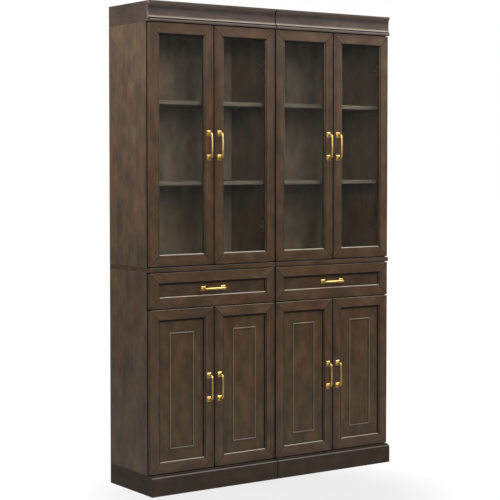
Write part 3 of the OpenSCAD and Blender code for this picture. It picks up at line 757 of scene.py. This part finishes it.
for unit in (1, 2):
    side_low, side_high = corner_box(f"base_{unit}_sides")
    left, right, rear = side_low[0], side_high[0], side_high[1]
    inner_left, inner_right = left + BOARD_T + PLAY, right - BOARD_T - PLAY
    for node in (f"base_{unit}_sides", f"hutch_{unit}_sides"):
        finish_node(node, wood_upright)

    low, high = corner_box(f"base_{unit}_top")
    board = moulding(top_section(low[1], high[1], low[2], high[2]), low[0], high[0], TOP_SHADE)
    piece(f"base_{unit}_top_board", [board], "cabinets", wood, "stained_wood", f"base_{unit}_top")

    for node in (f"base_{unit}_decks", f"hutch_{unit}_decks"):
        low, high = corner_box(node)
        # painted shade on the front edges, which only show in the gaps between the doors
        shells = level_boards(low, high, (low[2], high[2] - BOARD_T), dark_front=True)
        piece(node.replace("decks", "fixed_boards"), shells, "cabinets", wood_inner, "inner_board", node)

    hutch_floor = corner_box(f"hutch_{unit}_decks")[0][2]
    low, high = corner_box(f"shelves_{unit}")
    floors = (low[2], hutch_floor + BOARD_T + HUTCH_BAY, high[2] - BOARD_T)
    shells = level_boards(low, high, floors, ease=1.2)
    piece(f"shelves_{unit}_boards", shells, "cabinets", wood_shelf, "inner_board", f"shelves_{unit}")

    low, high = corner_box(f"plinth_{unit}")
    back = low[1] + PLINTH_T
    rail = back + PLAY
    rear_face = rear - REAR_IN
    shells = [moulding(plinth_section(low[1], high[2] + PLAY, back), low[0], high[0]),
              eased_board((left, rail, 0), (left + BOARD_T, rear, high[2]), 1),
              eased_board((right - BOARD_T, rail, 0), (right, rear, high[2]), 1),
              eased_board((inner_left, rail, 0), (inner_right, CARCASS_FRONT + RAIL_IN, high[2]), 0),
              eased_board((inner_left, rear_face - PLINTH_T, 0), (inner_right, rear_face, high[2]), 0)]
    piece(f"plinth_{unit}_boards", shells, "cabinets", wood_plinth, "plinth_wood", f"plinth_{unit}")

    low, high = corner_box(f"crown_{unit}")
    back = low[1] + CROWN_T
    rail = back + PLAY
    rear_board = rear - BOARD_T
    cap = rear_board - PLAY
    section, painted_light_and_joints = crown_section(low[1], low[2], high[2], back)
    shells = [moulding(section, low[0], high[0], painted_light_and_joints),
              eased_board((left, rail, low[2]), (left + BOARD_T, rear, high[2]), 1, shade=END_SHADE),
              eased_board((right - BOARD_T, rail, low[2]), (right, rear, high[2]), 1, shade=END_SHADE),
              eased_board((inner_left, rear_board, low[2]), (inner_right, rear, high[2]), 0),
              eased_board((inner_left, rail, high[2] - CAP_T), (inner_right, cap, high[2]), 0)]
    piece(f"crown_{unit}_boards", shells, "cabinets", wood_crown, "stained_wood", f"crown_{unit}")

low, high = corner_box("back_panels")
shells = []
for unit in (1, 2):
    side_low, side_high = corner_box(f"base_{unit}_sides")
    left, right = side_low[0] + BACK_IN, side_high[0] - BACK_IN
    hutch_low = corner_box(f"hutch_{unit}_sides")[0][2]
    shells += [eased_board((left, low[1], low[2]), (right, high[1], side_high[2] - PLAY), 2, 0.4),
               eased_board((left, low[1], hutch_low), (right, high[1], high[2]), 2, 0.4)]
piece("back_panel_sheets", shells, "cabinets", wood_inner, "inner_board", "back_panels")


def hinge_arm(wall, z, sense):
    """A mounting plate with bevelled rims on a side board, its two screws, and the cranked arm that
    reaches forward from it to the cup. All stand out from the wall along sense."""
    inset = np.array([0.4, 0, 0, 0.4])
    front = CARCASS_FRONT + 1
    middle = front + PLATE_BACK
    plate = rounded_rectangles(10 - inset, 24 - inset, 4 - inset, 4)
    plate_rise = sense * np.array([0, 0.4, 1.5, PLATE_T])
    run = np.array([0, 0.8, 14, 22, 46, 51.2, 52])
    half_rise = np.array([3.6, 4.2, 4.2, 5, 5, 4.4, 3.6])
    half_width = np.array([4.4, 5.2, 5.2, 5.5, 5.5, 5.2, 4.6])
    arm = rounded_rectangles(half_rise, half_width, np.full(len(run), 1.2), 3)
    shells = [shell(stack(plate, plate_rise, [1, 2, 0], (wall, middle, z)), 2),
              shell(stack(arm, run, [0, 2, 1], (wall + sense * (PLATE_T + 5), front, z)), 1)]
    for up in (-PLATE_SCREW, PLATE_SCREW):
        shells.append(screw_head((wall + sense * PLATE_T, middle, z + up), 3.6, 1.5, 0, sense))
    shells.append(screw_head((wall + sense * (PLATE_T + 10), middle + 4, z), 3, 1, 0, sense))
    return shells


shells = []
for number in (1, 2, 3, 4):
    sense = 1 if number % 2 else -1
    side_low, side_high = corner_box(f"base_{(number + 1) // 2}_sides")
    wall = side_low[0] + BOARD_T if sense > 0 else side_high[0] - BOARD_T
    for tier in ("glass", "base"):
        low, high = corner_box(f"{tier}_door_{number}_hinge_cups")
        for z in (low[2] + FLANGE_HALF, high[2] - FLANGE_HALF):
            shells += hinge_arm(wall, z, sense)
piece("hinge_arm_set", shells, "cabinets", steel, "plated_steel", "hinge_arms")
for node in ("shelf_pins", "drawer_rails"):
    finish_node(node, steel)


# ---------------------------------------------------------------- studio
def softbox(name, place, target, wide, tall, watts):
    """A rectangular white lamp at a place, turned to face a target."""
    lamp = bpy.data.lights.new(name, "AREA")
    lamp.shape = "RECTANGLE"
    lamp.size = wide
    lamp.size_y = tall
    lamp.energy = watts
    made = bpy.data.objects.new(name, lamp)
    x, y, z = np.array(target) - np.array(place)
    made.location = place
    made.rotation_euler = (math.atan2(math.hypot(x, y), -z), 0, -math.atan2(x, y))
    made.visible_camera = False
    bpy.context.scene.collection.objects.link(made)


softbox("overhead_softbox", (1.9, -1.5, 3.9), (0, -0.1, 1.0), 2.8, 2.8, 115)
softbox("left_softbox", (-2.0, 0.1, 3.2), (-0.6, 0, 1.7), 1.3, 1.5, 66)
softbox("front_softbox", (-1.6, -4.6, 2.7), (0, 0, 1.3), 1.6, 1.6, 95)
softbox("right_softbox", (3.8, -1.6, 2.4), (0, 0, 1.2), 1.0, 2.0, 25)

ROOM_LIGHT = 0.12
world = bpy.data.worlds.new("pale_studio")
world.use_nodes = True
tree = world.node_tree
tree.nodes.clear()
backdrop = add(tree, "Background", {"Color": "#FFFFFF", "Strength": 1.0})
room = add(tree, "Background", {"Color": "#FFFFFF", "Strength": ROOM_LIGHT})
seen = add(tree, "LightPath").outputs["Is Camera Ray"]
add(tree, "OutputWorld", [add(tree, "MixShader", [seen, room, backdrop])])
bpy.context.scene.world = world

FLOOR_HALF = 30
corners = [(x * FLOOR_HALF, y * FLOOR_HALF, 0) for x, y in ((-1, -1), (1, -1), (1, 1), (-1, 1))]
floor_mesh = bpy.data.meshes.new("floor")
floor_mesh.from_pydata(corners, [], [(0, 1, 2, 3)])
floor_mesh.materials.append(floor_paint("pale_floor_paint"))
floor = bpy.data.objects.new("floor", floor_mesh)
bpy.context.scene.collection.objects.link(floor)

CAMERA_DOWN = 2.467     # degrees below level
CAMERA_TURN = -34.739   # degrees from looking straight at the doors, seen from above
lens = bpy.data.cameras.new("camera")
lens.sensor_width = 36
lens.lens = 104.891
lens.shift_y = -0.05
lens.clip_end = 100
camera = bpy.data.objects.new("camera", lens)
camera.location = (-3.5015, -5.0082, 1.3092)
camera.rotation_euler = (math.radians(90 - CAMERA_DOWN), 0, math.radians(CAMERA_TURN))
bpy.context.scene.collection.objects.link(camera)
bpy.context.scene.camera = camera
bpy.context.scene.view_settings.view_transform = "Standard"
